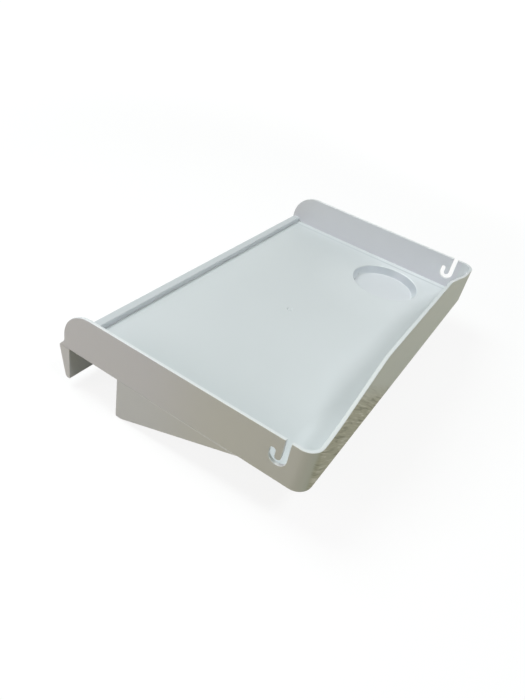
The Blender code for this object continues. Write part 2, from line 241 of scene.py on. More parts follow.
def multiply(material, first, second):
    """Two masks at once."""
    both = add_node(material, "ShaderNodeMath", {"operation": "MULTIPLY"})
    material.node_tree.links.new(first, both.inputs[0])
    if isinstance(second, bpy.types.NodeSocket):
        material.node_tree.links.new(second, both.inputs[1])
    else:
        both.inputs[1].default_value = second
    return both.outputs[0]


def facing_front(material, start, end):
    """0 to 1 as a surface turns to the front; start and end are the Y of its normal."""
    normal = add_node(material, "ShaderNodeTexCoord").outputs["Normal"]
    forwards = add_node(material, "ShaderNodeSeparateXYZ", sockets={"Vector": normal}).outputs["Y"]
    return ramp(material, forwards, start, end)


def from_middle(material, place):
    """How far to the left or right of the tray's middle a place is."""
    across = add_node(material, "ShaderNodeSeparateXYZ", sockets={"Vector": place}).outputs["X"]
    far = add_node(material, "ShaderNodeMath", {"operation": "ABSOLUTE"})
    material.node_tree.links.new(across, far.inputs[0])
    return far.outputs[0]


print("helpers for masks:", [rule.__name__ for rule in (ramp, multiply, facing_front, from_middle)])

# %% [markdown]
# ## The guard's outer face
#
# The outer half of the mould is spark-eroded, so the guard's outer face is matt. Its tint is a
# painted warm shade, and the outer faces of the sides carry a painted warm bounce light, less and
# less towards the back: X times the normal's X tells their outer faces from the inner ones. The
# guard's left part carries painted reflections: a darker stretch and slanting streaks that are a
# little darker or paler. Stretched noise draws them: a Mapping node in the TEXTURE way turns the
# pattern and gives it a streak's length and width.

# %% Painted warm bounce light on the sides
OUTWARDS_RANGE = (20 * MM, 120 * MM)
WARM_BOUNCE_RANGE = (-50 * MM, -140 * MM)


def warm_bounce_on_sides(material, place, tint):
    """A painted warm bounce light on the outer faces of the sides, more towards the front."""
    axes = add_node(material, "ShaderNodeSeparateXYZ", sockets={"Vector": place}).outputs
    normal = add_node(material, "ShaderNodeTexCoord").outputs["Normal"]
    sideways = add_node(material, "ShaderNodeSeparateXYZ", sockets={"Vector": normal}).outputs["X"]
    outwards = multiply(material, axes["X"], sideways)
    share = multiply(material, ramp(material, outwards, *OUTWARDS_RANGE),
                     ramp(material, axes["Y"], *WARM_BOUNCE_RANGE))
    return mix_colours(material, share, tint, from_hex("#d3d5cf")), 0


print("yellow rises from Y =", round(WARM_BOUNCE_RANGE[0] / MM), "to", round(WARM_BOUNCE_RANGE[1] / MM), "mm")

# %% Guard with painted reflections
REFLECTION_LENGTH, REFLECTION_WIDTH, REFLECTION_SLANT = 45 * MM, 2.2 * MM, radians(38)
DARK_RANGE, PALE_RANGE = (0.52, 0.7), (0.46, 0.32)  # of the noise
STRETCH_SLANT, STRETCH_RANGE = radians(58), (-9 * MM, -34 * MM)
MATT_RANGE, STRETCH_FACING_RANGE = (-0.6, -0.98), (-0.8, -0.99)  # Y of the normal


def matt_guard_with_painted_reflections(material, place, tint):
    """A matt outer face with a painted warm shade and bounce light, and painted reflections at its
    left end.
    """
    tint = warm_bounce_on_sides(material, place, tint)[0]
    # the front face's darker warm tint is painted shade; its matt roughness comes from the mould
    outer = facing_front(material, *MATT_RANGE)
    tint = mix_colours(material, outer, tint, from_hex("#ced2ca"))
    # the stretch ends on a slant: further left at the top than at the bottom
    turned = add_node(material, "ShaderNodeMapping", sockets={
        "Vector": place, "Rotation": (0, STRETCH_SLANT, 0)})
    along = add_node(material, "ShaderNodeSeparateXYZ", sockets={
        "Vector": turned.outputs["Vector"]}).outputs["X"]
    # the darker stretch and the slanting streaks below are painted reflections
    left = multiply(material, facing_front(material, *STRETCH_FACING_RANGE),
                    ramp(material, along, *STRETCH_RANGE))
    tint = mix_colours(material, left, tint, from_hex("#b7b7a5"))
    slanting = add_node(material, "ShaderNodeMapping", {"vector_type": "TEXTURE"}, {
        "Vector": place, "Rotation": (0, REFLECTION_SLANT, 0), "Scale": (REFLECTION_LENGTH, 1, REFLECTION_WIDTH)})
    marks = add_node(material, "ShaderNodeTexNoise", sockets={
        "Vector": slanting.outputs["Vector"], "Scale": 1.0, "Detail": 2, "Roughness": 0.5,
        "Distortion": 0.5})
    dark = multiply(material, left, ramp(material, marks.outputs["Fac"], *DARK_RANGE))
    tint = mix_colours(material, dark, tint, from_hex("#90907e"))
    pale = multiply(material, left, ramp(material, marks.outputs["Fac"], *PALE_RANGE))
    return mix_colours(material, pale, tint, from_hex("#d4d4c8")), outer


guard_abs = mould_abs("moulded_abs_guard_painted_reflections", "#d5d9db", "#cfd3d5", 0.38, matt_guard_with_painted_reflections)
print("outer face:", guard_abs.name)

# %% [markdown]
# ## The floor and the recess
#
# The floor carries painted light: it is paler round the recess and in the left front corner, as
# pools of light. A painted shade line runs along each side wall near its foot. The recess's base
# is painted paler as light, and its wall is painted darker as shade, most on the right.

# %% Floor with painted light and shade
LIGHT_PATCHES = (  # centre and reach in mm, and how much
    ((176, -150, 6), (62, 66, 40), 0.6),
    ((138, -122, 6), (95, 80, 50), 0.45),
    ((-152, -198, 6), (66, 22, 40), 1.0))
SHADE_LINE_INNER_RANGE = (186.6 * MM, 188.6 * MM)
SHADE_LINE_OUTER_RANGE = (191 * MM, 189.4 * MM)


def paint_floor_light_and_shade(material, place, tint):
    """Painted pools of light round the recess and in the left front corner, and a faint painted
    shade line along each wall, about 2.5 mm wide."""
    # paler patches: painted pools of light
    for centre, reach, share in LIGHT_PATCHES:
        patch = add_node(material, "ShaderNodeMapping", {"vector_type": "TEXTURE"}, {
            "Vector": place, "Location": [part * MM for part in centre],
            "Scale": [part * MM for part in reach]})
        near = add_node(material, "ShaderNodeTexGradient", {"gradient_type": "SPHERICAL"}, {
            "Vector": patch.outputs["Vector"]}).outputs["Fac"]
        tint = mix_colours(material, multiply(material, near, share), tint, from_hex("#eceff2"))
    # a darker line along each wall: painted shade
    far = from_middle(material, place)
    shade_line = multiply(material, ramp(material, far, *SHADE_LINE_INNER_RANGE),
                    ramp(material, far, *SHADE_LINE_OUTER_RANGE))
    return mix_colours(material, shade_line, tint, from_hex("#c7ccce")), 0


floor_abs = mould_abs("moulded_abs_floor_painted_light", "#d5d9db", "#cfd3d5", 0.36, paint_floor_light_and_shade)
print("floor:", floor_abs.name)

# %% Recess with painted light and shade
WALL_RANGE = (5.6 * MM, 4.6 * MM)
BASE_RANGE = (-2.4 * MM, -3.2 * MM)
RIGHT_TURN = radians(20)  # X is turned to the front, and the recess's axis is then at 178.3 mm
RIGHT_RANGE = (188 * MM, 214 * MM)


def paint_recess_light_and_shade(material, place, tint):
    """The floor's painted light up to the mouth, a base painted paler as light, and a wall painted
    darker as shade, most on its right.
    """
    tint = paint_floor_light_and_shade(material, place, tint)[0]
    turned = add_node(material, "ShaderNodeMapping", sockets={
        "Vector": place, "Rotation": (0, 0, RIGHT_TURN)})
    axes = add_node(material, "ShaderNodeSeparateXYZ", sockets={
        "Vector": turned.outputs["Vector"]}).outputs
    # the wall's darker tint and its deeper right side are painted shade
    wall = ramp(material, axes["Z"], *WALL_RANGE)
    tint = mix_colours(material, wall, tint, from_hex("#d3d9df"))
    right = multiply(material, wall, ramp(material, axes["X"], *RIGHT_RANGE))
    tint = mix_colours(material, right, tint, from_hex("#b4bac0"))
    # the paler base is painted light
    base = ramp(material, axes["Z"], *BASE_RANGE)
    return mix_colours(material, base, tint, from_hex("#dddfe3")), 0


recess_abs = mould_abs("moulded_abs_recess_painted_light", "#d5d9db", "#cfd3d5", 0.34, paint_recess_light_and_shade)
print("recess:", recess_abs.name)

# %% [markdown]
# ## Walls, ridge and lip
#
# The other pieces differ by no more than a tone. The side walls carry a painted shade towards
# their foot inside and a painted warm bounce light outside, as the cheeks below them do. The ridge
# is a darker grey as painted shade and its front step is painted paler as light. The lip is a
# lighter grey as painted light and is painted darker in the channel as shade.

# %% Painted light and shade of walls, ridge and lip
INNER_FACE_RANGE = (199 * MM, 198 * MM)
FOOT_RANGE = (32 * MM, 7 * MM)
FRONT_FACE_RANGE = (-0.4, -0.9)
CHANNEL_SHADE_RANGE = (196 * MM, 158 * MM)


def paint_shade_at_foot(material, place, tint):
    """A painted shade on a wall's inner face, deeper towards its foot, over the painted warm bounce
    light outside.
    """
    tint = warm_bounce_on_sides(material, place, tint)[0]
    height = add_node(material, "ShaderNodeSeparateXYZ", sockets={"Vector": place}).outputs["Z"]
    inner = ramp(material, from_middle(material, place), *INNER_FACE_RANGE)
    foot = multiply(material, inner, ramp(material, height, *FOOT_RANGE))
    return mix_colours(material, foot, tint, from_hex("#cecfd4")), 0


def paint_light_on_step(material, place, tint):
    """Painted light on the ridge's front face, which is paler than its top."""
    step = facing_front(material, *FRONT_FACE_RANGE)
    return mix_colours(material, step, tint, from_hex("#d5dadd")), 0


def paint_shade_in_channel(material, place, tint):
    """Painted shade on the lip's inner face in the channel, darker away from its two ends."""
    inner = facing_front(material, *FRONT_FACE_RANGE)
    tint = mix_colours(material, inner, tint, from_hex("#cfd4da"))
    rub_marks_and_shade = multiply(material, inner, ramp(
        material, from_middle(material, place), *CHANNEL_SHADE_RANGE))
    return mix_colours(material, rub_marks_and_shade, tint, from_hex("#a9adb1")), 0


wall_abs = mould_abs("moulded_abs_wall", "#d7d9dd", "#d1d3d7", 0.36, paint_shade_at_foot)
cheek_abs = mould_abs("moulded_abs_cheek", "#d5d9db", "#cfd3d5", 0.36, warm_bounce_on_sides)
# the ridge's darker cool grey is painted shade
ridge_abs = mould_abs("moulded_abs_ridge_painted_shade", "#ccd0d3", "#c6cacd", 0.36, paint_light_on_step)
# the lip's lighter grey is painted light
lip_abs = mould_abs("moulded_abs_lip_painted_light_and_shade", "#dadcde", "#d5d7d9", 0.38, paint_shade_in_channel)
print("shades:", [material.name for material in (wall_abs, cheek_abs, ridge_abs, lip_abs)])

# %% [markdown]
# ## Drawing an outline and rounding it
#
# Most pieces are flat panels: an outline with rounded corners, extruded by the wall. The outline
# starts as a few vertices and one face. The bevel operator rounds its corners, in the VERTICES
# way, which measures along the two sides, so a radius is first turned into the tangent's length.
# Corners that share a whole side, such as the two at the end of a slot, go into one call.

# %% Round corners of an outline
def round_corners(shape, radii, segments=12):
    """Round corners of an outline. radii maps each vertex to its radius."""
    groups = {}
    for corner, radius in radii.items():
        first, second = [edge.other_vert(corner).co - corner.co for edge in corner.link_edges]
        tangent = round(radius / tan(first.angle(second) / 2), 7)
        groups.setdefault(tangent, []).append(corner)
    for tangent, corners in groups.items():
        bmesh.ops.bevel(shape, geom=corners, offset=tangent, offset_type="OFFSET",
                        segments=segments, profile=0.5, affect="VERTICES", clamp_overlap=False,
                        material=-1)
    bmesh.ops.remove_doubles(shape, verts=shape.verts, dist=MERGE)


print("vertices closer than", round(MERGE / MM, 3), "mm are merged")

# %% Round edges of a panel
SHARP_ANGLE = radians(40)


def round_edges(shape, radius, is_picked, segments=4):
    """Round the sharp edges that the rule picks."""
    sharp = [edge for edge in shape.edges
             if edge.is_manifold and edge.calc_face_angle() > SHARP_ANGLE and is_picked(edge)]
    bmesh.ops.bevel(shape, geom=sharp, offset=radius, offset_type="OFFSET", segments=segments,
                    profile=0.5, affect="EDGES", clamp_overlap=False, material=-1)
    bmesh.ops.remove_doubles(shape, verts=shape.verts, dist=MERGE)


def make_panel(corners, x_from, x_to):
    """A panel from corners (y, z, radius), drawn at x_from and extruded to x_to."""
    shape = bmesh.new()
    drawn = {shape.verts.new((x_from, y, z)): radius for y, z, radius in corners}
    shape.faces.new(list(drawn))
    round_corners(shape, {corner: radius for corner, radius in drawn.items() if radius})
    grown = bmesh.ops.extrude_face_region(shape, geom=shape.faces[:])
    moved = [part for part in grown["geom"] if isinstance(part, bmesh.types.BMVert)]
    bmesh.ops.translate(shape, verts=moved, vec=(x_to - x_from, 0, 0))
    bmesh.ops.recalc_face_normals(shape, faces=shape.faces)
    return shape


print("edges sharper than", round(degrees(SHARP_ANGLE)), "degrees are rounded or stay sharp")

# %% [markdown]
# ## Where the edges are polished and carry a painted highlight
#
# A number on each vertex can carry a finish across a mesh. Here a rule gives every vertex a share
# of polish and painted highlight from its place, and the shader blends it over the faces between.

# %% Shares of polish and painted highlight
FLAT_SHARE = 0.55


def mark_polish_and_highlight(shape, rule):
    """Write the rule's share of polish and painted highlight, from 0 to 1, on each vertex as a
    vertex attribute.
    """
    polish_and_highlight = shape.verts.layers.float.new("polish_and_highlight")
    for corner in shape.verts:
        corner[polish_and_highlight] = min(1, max(0, rule(corner.co)))
    marked = sum(corner[polish_and_highlight] > 0 for corner in shape.verts)
    print("polished:", marked, "of", len(shape.verts), "vertices")


def on_round(past, radius):
    """1 in the middle of a round and 0 at both ends, from the distance past its start."""
    share = min(1, max(0, past / radius))
    return 4 * share * (1 - share)


def on_rim(past):
    """The rim's two rounds, and less on the flat between them."""
    return max(on_round(past, RIM_RADIUS), FLAT_SHARE if past > 0.95 * RIM_RADIUS else 0)


print("polish on a rim's round and flat:", on_rim(RIM_RADIUS / 2), on_rim(RIM_RADIUS))

# %% [markdown]
# ## Finishing a piece
#
# Every piece ends the same way. Its normals point outwards, smooth shading runs over rounds and
# stops at sharp edges, and a Weighted Normal modifier keeps the big flat faces flat right up to
# their rounds. Then the piece rides on the CAD body and stands for the node it replaces.

# %% Helper that finishes a piece
def finish_piece(shape, name, node, slot, material):
    """Turn a bmesh into a finished object that replaces a CAD node."""
    bmesh.ops.recalc_face_normals(shape, faces=shape.faces)
    open_edges = sum(not edge.is_manifold for edge in shape.edges)
    volume = shape.calc_volume() / MM ** 3
    mesh = bpy.data.meshes.new(name)
    shape.to_mesh(mesh)
    shape.free()
    mesh.shade_smooth()
    mesh.set_sharp_from_angle(angle=SHARP_ANGLE)
    mesh.materials.append(material)
    piece = bpy.data.objects.new(name, mesh)
    bpy.context.scene.collection.objects.link(piece)
    flats = piece.modifiers.new("even_flats", "WEIGHTED_NORMAL")
    flats.keep_sharp = True
    flats.weight = 100
    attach(piece, "root")
    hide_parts(node)
    print(f"{name}: {len(mesh.polygons)} faces, {open_edges} open edges, {volume:.0f} mm3")


print("pieces are finished by", finish_piece.__name__)

# %% [markdown]
# ## The floor panel
#
# The floor is a flat 3 mm panel, and it climbs into the walls with a small concave fillet, which
# shows as a soft light line round the tray, partly from its gloss and partly a painted highlight.
# A fillet could be bevelled later, but the floor has a round hole, so its face would be cut into
# triangles first and bevel badly. Here the outline starts at the fillet's top, and one inset after
# another steps down the quarter round to the floor.

# %% Floor sizes
FILLET_RADIUS = 1.8 * MM
FILLET_STEPS = 6
CUP_X = 142.3 * MM
CUP_Y = -130.3 * MM
CUP_OUTER = 41.85 * MM
TURN_STEPS = 96
GATE_Y = -79.3 * MM
GATE_RADIUS = 3 * MM
GATE_STEPS = 24
GATE_GROOVE, GATE_NUB = 1.1 * MM, 0.9 * MM
# the bands fade the fillet's painted highlight out onto the floor
FADE_BANDS = ((1.2 * MM, 0.5), (0.4 * MM, 0))  # past the fillet: width, share of polish
print("hole:", round(2 * CUP_OUTER / MM, 1), "mm, gate mark:", round(2 * GATE_RADIUS / MM), "mm")

# %% Floor outline and fillet
floor_shape = bmesh.new()
past_back = RIDGE_Y + 2 * FILLET_RADIUS
edge_z = FLOOR_TOP + FILLET_RADIUS
floor_corners = [floor_shape.verts.new((x, y, edge_z)) for x, y in (
    (-INNER_HALF, past_back), (-INNER_HALF, FRONT_Y + WALL),
    (INNER_HALF, FRONT_Y + WALL), (INNER_HALF, past_back))]
floor_shape.faces.new(floor_corners)
round_corners(floor_shape, {corner: CORNER_RADIUS - WALL for corner in floor_corners[1:3]})
sunk = floor_shape.faces[:]
# each step of the fillet gets a rising share of polish and painted highlight
polish_and_highlight = floor_shape.verts.layers.float.new("polish_and_highlight")
for step in range(FILLET_STEPS):
    before, after = [pi / 2 * (step + i) / FILLET_STEPS for i in (0, 1)]
    bmesh.ops.inset_region(
        floor_shape, faces=sunk, thickness=FILLET_RADIUS * (cos(before) - cos(after)),
        depth=-FILLET_RADIUS * (sin(after) - sin(before)), use_even_offset=True)
    for corner in sunk[0].verts:
        corner[polish_and_highlight] = ((step + 1) / FILLET_STEPS) ** 3
for width, share in FADE_BANDS:
    bmesh.ops.inset_region(floor_shape, faces=sunk, thickness=width, use_even_offset=True)
    for corner in sunk[0].verts:
        corner[polish_and_highlight] = share
print("floor level:", round(sunk[0].calc_center_median().z / MM, 2), "mm, meant", FLOOR_TOP / MM)

# %% Hole for the recess and gate mark
floor_loop = list(sunk[0].edges)
bmesh.ops.delete(floor_shape, geom=sunk, context="FACES_ONLY")
rings = []
for x, y, radius, count in ((CUP_X, CUP_Y, CUP_OUTER, TURN_STEPS),
                            (0, GATE_Y, GATE_RADIUS, GATE_STEPS)):
    ring = bmesh.ops.create_circle(floor_shape, segments=count, radius=radius,
                                   matrix=Matrix.Translation((x, y, FLOOR_TOP)))["verts"]
    rings.append(list({edge for corner in ring for edge in corner.link_edges}))
bmesh.ops.triangle_fill(floor_shape, use_beauty=True, edges=floor_loop + rings[0] + rings[1])
gate = bmesh.ops.contextual_create(floor_shape, geom=rings[1])["faces"]
bmesh.ops.inset_region(floor_shape, faces=gate, thickness=GATE_GROOVE, depth=-GATE_GROOVE)
bmesh.ops.inset_region(floor_shape, faces=gate, thickness=GATE_NUB, depth=GATE_NUB)
print("face of the gate mark:", round(gate[0].calc_center_median().z / MM, 2), "mm")

# %% Thickness and back edge of the floor
bmesh.ops.recalc_face_normals(floor_shape, faces=floor_shape.faces)
grown = bmesh.ops.extrude_face_region(floor_shape, geom=floor_shape.faces[:])
for part in grown["geom"]:
    if isinstance(part, bmesh.types.BMVert):
        part.co.z = FLOOR_UNDERSIDE
cut = bmesh.ops.bisect_plane(
    floor_shape, geom=floor_shape.verts[:] + floor_shape.edges[:] + floor_shape.faces[:],
    plane_co=(0, RIDGE_Y, 0), plane_no=(0, 1, 0), clear_outer=True)["geom_cut"]
bmesh.ops.edgeloop_fill(
    floor_shape, edges=[part for part in cut if isinstance(part, bmesh.types.BMEdge)])
finish_piece(floor_shape, "floor_panel", "tray_floor", "tray_plastic", floor_abs)

# %% [markdown]
# ## The cup recess
#
# The recess is a shallow dish for a cup or can, round and slightly tapered so that it leaves the
# mould. A round form is best turned: half its section is drawn as a chain of edges, its corners are
# rounded, and the spin operator turns it about the dish's own axis. It turns in as many
# steps as the floor's hole has sides, so the two meet point by point.

# %% Cup recess
BASE_Z, UNDER_Z = -3.3 * MM, -5.8 * MM
BASE_RADIUS, MOUTH_RADIUS, UNDER_RADIUS = 35.2 * MM, 39.2 * MM, 37.9 * MM
SECTION = (  # distance from the axis, height, round
    (0, BASE_Z, 0), (BASE_RADIUS, BASE_Z, 1.4 * MM), (MOUTH_RADIUS, FLOOR_TOP, 1.2 * MM),
    (CUP_OUTER, FLOOR_TOP, 0), (CUP_OUTER, FLOOR_UNDERSIDE, 0),
    (UNDER_RADIUS, UNDER_Z, 2 * MM), (0, UNDER_Z, 0))
recess_shape = bmesh.new()
drawn = {recess_shape.verts.new((CUP_X + out, CUP_Y, height)): radius
         for out, height, radius in SECTION}
chain = list(drawn)
for first, second in zip(chain, chain[1:]):
    recess_shape.edges.new((first, second))
round_corners(recess_shape, {corner: radius for corner, radius in drawn.items() if radius}, 6)
bmesh.ops.spin(
    recess_shape, geom=recess_shape.verts[:] + recess_shape.edges[:], cent=(CUP_X, CUP_Y, 0),
    axis=(0, 0, 1), angle=2 * pi, steps=TURN_STEPS, use_merge=True)
bmesh.ops.remove_doubles(recess_shape, verts=recess_shape.verts, dist=MERGE)
print("recess:", round((FLOOR_TOP - BASE_Z) / MM, 1), "mm deep,", len(recess_shape.faces), "faces")

# %% Polish and painted highlight in the recess
MOUTH_DEPTH, MOUTH_SHARE = 0.75 * MM, 0.2
BASE_ROUND, BASE_SHARE = 1.1 * MM, 0.9
FADE_END_X, FADE_WIDTH = 165 * MM, 20 * MM


def recess_polish_and_highlight(place):
    """Polish and a painted highlight, a little round the mouth, and round the base on the left."""
    left = min(1, max(0, (FADE_END_X - place.x) / FADE_WIDTH))
    return max(MOUTH_SHARE * on_round(FLOOR_TOP - place.z, MOUTH_DEPTH),
               BASE_SHARE * left * on_round(place.z - BASE_Z, BASE_ROUND))


mark_polish_and_highlight(recess_shape, recess_polish_and_highlight)
finish_piece(recess_shape, "cup_recess", "cup_well", "tray_plastic", recess_abs)

# %% [markdown]
# ## The front guard
#
# The guard is one bent band: it starts at each side wall, turns a round corner and rises in the
# middle on two soft ramps, which keep things from sliding off. So it is drawn as a line in plan,
# its corners are rounded, and it is extruded upwards like a fence. Its top then follows a
# height rule with soft knees, and solidify gives the band its wall.

# %% Height of the guard's rim
def soft_knee(past, reach):
    """0 before a knee and the distance past it after, with a round of this reach between."""
    return 0 if past < -reach else past if past > reach else (past + reach) ** 2 / (4 * reach)


GUARD_RISE = GUARD_TOP - SIDE_TOP
RAMPS = ((1, -174 * MM, -92 * MM), (-1, -168 * MM, -75.5 * MM))
FOOT_REACH = 16.5 * MM
HEAD_REACH = 6.6 * MM


def rim_height(x):
    """Height of the guard's rim: each ramp is (direction, foot, head) along its own direction."""
    climbed = [GUARD_RISE / (head - foot) *
               (soft_knee(way * x - foot, FOOT_REACH) - soft_knee(way * x - head, HEAD_REACH))
               for way, foot, head in RAMPS]
    return SIDE_TOP + climbed[0] + climbed[1] - GUARD_RISE


print("rim at x = -150, 0, 150 mm:", [round(rim_height(x * MM) / MM, 1) for x in (-150, 0, 150)])

# %% Front guard
LONG_SIDE_CUTS = 186  # a vertex every 2 mm
guard_shape = bmesh.new()
turns = [guard_shape.verts.new((x, y, SKIRT_Z)) for x, y in (
    (-HALF_WIDTH, SEAM_Y), (-HALF_WIDTH, FRONT_Y), (HALF_WIDTH, FRONT_Y), (HALF_WIDTH, SEAM_Y))]
for first, second in zip(turns, turns[1:]):
    guard_shape.edges.new((first, second))
round_corners(guard_shape, {corner: CORNER_RADIUS for corner in turns[1:3]})
long_side = max(guard_shape.edges, key=lambda edge: edge.calc_length())
bmesh.ops.subdivide_edges(guard_shape, edges=[long_side], cuts=LONG_SIDE_CUTS)
raised = bmesh.ops.extrude_edge_only(guard_shape, edges=guard_shape.edges[:])["geom"]
for part in raised:
    if isinstance(part, bmesh.types.BMVert):
        part.co.z = rim_height(part.co.x)
bmesh.ops.recalc_face_normals(guard_shape, faces=guard_shape.faces)
bmesh.ops.solidify(guard_shape, geom=guard_shape.faces[:], thickness=WALL)
bmesh.ops.recalc_face_normals(guard_shape, faces=guard_shape.faces)
print("guard:", len(guard_shape.faces), "faces before its edges are rounded")

# %% Rounds, polish and painted highlight of the guard
LEAST_SHARE = 0.15
FULL_TO_X, NONE_FROM_X = -100 * MM, 100 * MM


def at_seam(edge):
    """Edges down a seam, where the guard meets a side wall."""
    return all(abs(corner.co.y - SEAM_Y) < CLOSE for corner in edge.verts)


def on_guard_rim(edge):
    """Edges along the rim, and not those down the seams."""
    return min(corner.co.z for corner in edge.verts) > SIDE_TOP - 1 * MM and not at_seam(edge)


def on_guard_foot(edge):
    """Edges along the foot, and not those at the seams."""
    return max(corner.co.z for corner in edge.verts) < SKIRT_Z + CLOSE and not at_seam(edge)


def guard_polish_and_highlight(place):
    """Polish and a painted highlight over the rim's rounds, all of it at the left end and less and
    less towards the right.
    """
    faded = (place.x - FULL_TO_X) / (NONE_FROM_X - FULL_TO_X)
    share = min(1, max(LEAST_SHARE, 1 - faded))
    return share * on_rim(place.z - rim_height(place.x) + RIM_RADIUS)


round_edges(guard_shape, RIM_RADIUS, on_guard_rim)
round_edges(guard_shape, EDGE_RADIUS, on_guard_foot, 2)
mark_polish_and_highlight(guard_shape, guard_polish_and_highlight)
finish_piece(guard_shape, "guard", "front_guard", "tray_plastic", guard_abs)

# %% [markdown]
# ## The side walls
#
# Each side wall is a 3 mm panel with a straight rim, a large round at the back and a shoulder
# where the hook begins. Near the front a slot is cut as a J, which takes a cord or a loop. The slot
# could be a Boolean cut, but it opens into the rim, so it is simply part of the outline.

# %% Cord slot
def slot_corners():
    """The J of the slot as corners (y, z, radius), from the arm's rear edge to its front one."""
    front, rear, tip_front, tip_rear = [y * MM for y in (-191.3, -186.3, -180.9, -175.9)]
    inner, outer, cap = 2.7 * MM, 7.7 * MM, 2.5 * MM
    low, bend, tip = 15.8 * MM, 20.8 * MM, 30.5 * MM
    return [(rear, SIDE_TOP, 0), (rear, bend, inner),
            (tip_front, bend, inner), (tip_front, tip, cap),
            (tip_rear, tip, cap), (tip_rear, low, outer),
            (front, low, outer), (front, SIDE_TOP, 0)]


print("slot:", len(slot_corners()), "corners, from Y =",
      round(slot_corners()[-1][0] / MM, 1), "to", round(slot_corners()[4][0] / MM, 1), "mm")

# %% Edges of a side wall
SLOT_BACK_Y = -170 * MM
RIM_ZONE, RIM_LOW_Z = 2 * MM, 10 * MM
OUTER_STRIP = 0.3 * MM


def on_side_rim(edge):
    """Edges along the rim and round the back, on either face of the wall."""
    first, second = [corner.co for corner in edge.verts]
    along = abs(first.x - second.x) < CLOSE
    top = min(first.z, second.z) > SIDE_TOP - CLOSE
    round_back = min(first.y, second.y) > BACK_Y - BACK_RADIUS - CLOSE
    return along and (top or round_back) and min(first.z, second.z) > SHOULDER_Z


def on_slot_or_skirt(edge):
    """Edges round the slot, and along the bottom, on either face of the wall."""
    first, second = [corner.co for corner in edge.verts]
    along = abs(first.x - second.x) < CLOSE
    bottom = max(first.z, second.z) < SHOULDER_Z
    slot = max(first.y, second.y) < SLOT_BACK_Y and min(first.y, second.y) > SEAM_Y + 1 * MM
    return along and (bottom or slot and max(first.z, second.z) < SIDE_TOP - CLOSE)


def side_polish_and_highlight(place):
    """Polish and a painted highlight over the rim up to its outer round, and painted light in the
    slot and along the skirt's edge.
    """
    beyond_y = max(place.y - (BACK_Y - BACK_RADIUS), 0)
    beyond_z = max(place.z - (SIDE_TOP - BACK_RADIUS), 0)
    from_rim = hypot(beyond_y, beyond_z) - BACK_RADIUS
    across = abs(place.x)
    if from_rim > -RIM_ZONE and place.z > RIM_LOW_Z:
        return on_rim(from_rim + RIM_RADIUS) if across < HALF_WIDTH - OUTER_STRIP else 0
    return 1 if INNER_HALF + CLOSE / 2 < across < HALF_WIDTH - CLOSE / 2 else 0


print("rules for a wall:", [rule.__name__ for rule in (on_side_rim, on_slot_or_skirt, side_polish_and_highlight)])

# %% Side walls
for name, node, side in (("left_side", "left_wall", -1), ("right_side", "right_wall", 1)):
    outline = [(SEAM_Y, SKIRT_Z, 0), (HOOK_BACK_Y, SKIRT_Z, 0),
               (BACK_Y, SHOULDER_Z, SHOULDER_ROUND), (BACK_Y, SIDE_TOP, BACK_RADIUS),
               *slot_corners(), (SEAM_Y, SIDE_TOP, 0)]
    wall_shape = make_panel(outline, side * HALF_WIDTH, side * INNER_HALF)
    round_edges(wall_shape, RIM_RADIUS, on_side_rim)
    round_edges(wall_shape, EDGE_RADIUS, on_slot_or_skirt, 2)
    mark_polish_and_highlight(wall_shape, side_polish_and_highlight)
    finish_piece(wall_shape, name, node, "tray_plastic", wall_abs)

# %% [markdown]
# ## The ridge across the back
#
# A low step runs across the back, over the hook. It stiffens the edge that takes the load, and
# keeps things on the floor from sliding onto the rail. It is a section extruded across the tray.

# %% Back ridge
RIDGE_TOP = 11.2 * MM
ridge_shape = make_panel([
    (RIDGE_Y, SKIRT_Z, 0), (HOOK_BACK_Y, SKIRT_Z, 0), (BACK_Y, SHOULDER_Z, SHOULDER_ROUND),
    (BACK_Y, RIDGE_TOP, 2.5 * MM), (RIDGE_Y, RIDGE_TOP, 1.2 * MM)], -INNER_HALF, INNER_HALF)
finish_piece(ridge_shape, "back_ridge", "rear_ridge", "tray_plastic", ridge_abs)

# %% [markdown]
# ## The hook's lip and the cheeks
#
# Below the walls the moulding turns into a bracket. The lip behind the rail tapers to a thin tip,
# and a small fillet fills the corner where the rail's edge goes. The cheeks below the walls are
# wedges. They touch the walls along a parting line, where the halves of the mould met. Two plane
# cuts leave a strip 0.9 mm wide along it and one 0.5 mm wide to fade out in. It is marked with
# polish and a painted highlight, more and more towards the cheek's front tip, and shows as a thin
# pale crease.

# %% Hook lip
LIP_TIP_Z, LIP_TIP_BACK_Y, LIP_BEND_Z = -33.7 * MM, 33 * MM, -2 * MM
CHANNEL_FILLET = 1.8 * MM
lip_shape = make_panel([
    (RAIL_FAR_Y - CHANNEL_FILLET, SKIRT_Z, 0), (RAIL_FAR_Y, SKIRT_Z, CHANNEL_FILLET),
    (RAIL_FAR_Y, LIP_TIP_Z, 1 * MM), (LIP_TIP_BACK_Y, LIP_TIP_Z, 3.2 * MM),
    (HOOK_BACK_Y, LIP_BEND_Z, 1.2 * MM), (HOOK_BACK_Y, SKIRT_Z, 0)], -HALF_WIDTH, HALF_WIDTH)


def is_below_skirt(edge):
    """Edges round a panel's two faces, but not those that touch the walls."""
    first, second = [corner.co for corner in edge.verts]
    return abs(first.x - second.x) < CLOSE and min(first.z, second.z) < SKIRT_Z - CLOSE


round_edges(lip_shape, EDGE_RADIUS, is_below_skirt, 2)
finish_piece(lip_shape, "rail_lip", "hook_lip", "bracket_plastic", lip_abs)

# %% Cheeks
CHEEK_LOW_Z, CHEEK_LOW_Y = -41.5 * MM, -34.5 * MM
CHEEK_TIP_Y = -152.5 * MM
LINE_WIDTH, LINE_FADE, LINE_SHARE = 0.9 * MM, 0.5 * MM, 0.9
LINE_Z = SKIRT_Z - LINE_WIDTH
LINE_END_Z = LINE_Z - LINE_FADE


